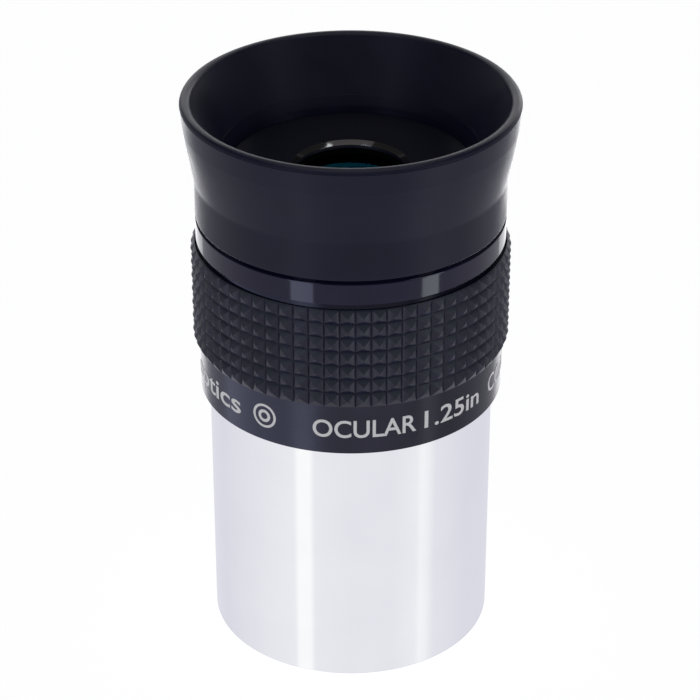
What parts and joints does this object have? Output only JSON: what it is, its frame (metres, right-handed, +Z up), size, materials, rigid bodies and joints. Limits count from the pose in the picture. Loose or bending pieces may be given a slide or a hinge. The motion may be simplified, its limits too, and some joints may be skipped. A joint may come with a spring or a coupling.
{
  "type": "telescope eyepiece",
  "caption": "Telescope eyepiece with a chrome 1.25 inch barrel, black body, knurled rubber grip and a flared fold-down rubber eyecup over a coated lens.",
  "frame": {"origin": "centre of the barrel's foot, on the surface that the eyepiece stands on", "axes": "+Z up along the optical axis, towards the eye; -Y is the front, where the markings face"},
  "size_m": [0.0367, 0.0366, 0.0645],
  "materials": {
    "chrome": "polished chrome plate",
    "black_anodised": "gloss black anodised aluminium",
    "cell_metal": "matt black anodised aluminium",
    "grip_rubber": "satin moulded rubber",
    "cup_rubber": "matt moulded rubber",
    "seal_rubber": "smooth nitrile rubber",
    "coated_glass": "polished glass with a blue-green anti-reflection coating"
  },
  "bodies": {
    "housing": {"housing": "black_anodised", "grip_ring": "grip_rubber", "field_stop": "black_anodised", "neck_ring": "black_anodised", "eye_plate": "black_anodised", "eyecup_base": "cup_rubber", "eyecup_skirt": "cup_rubber", "lens_cell": "cell_metal", "cell_lock_ring": "cell_metal", "eye_seat_ring": "cell_metal", "eye_flint": "coated_glass", "eye_crown": "coated_glass", "lens_spacer": "cell_metal", "field_crown": "coated_glass", "field_flint": "coated_glass", "lens_retainer": "cell_metal"},
    "eyecup_lip": {"eyecup_lip": "cup_rubber"},
    "barrel_seal": {"barrel_seal": "seal_rubber"},
    "barrel": {"barrel": "chrome", "barrel_baffle": "black_anodised"}
  },
  "joints": [
    {"name": "eyecup_fold", "type": "slide", "parent": "housing", "child": "eyecup_lip", "axis": [0, 0, -1], "range_m": [0, 0.0112], "deforming": ["eyecup_skirt"]},
    {"name": "barrel_travel", "type": "slide", "parent": "housing", "child": "barrel_seal", "axis": [0, 0, -1], "range_m": [0, 0.00605]},
    {"name": "barrel_turn", "type": "hinge", "parent": "barrel_seal", "child": "barrel", "pos_m": [0, 0, 0.03], "axis": [0, 0, -1], "range_deg": [0, 2880]}
  ],
  "couplings": [
    {"joint": "barrel_travel", "follows": "barrel_turn", "m_per_rad": 0.00011937}
  ]
}
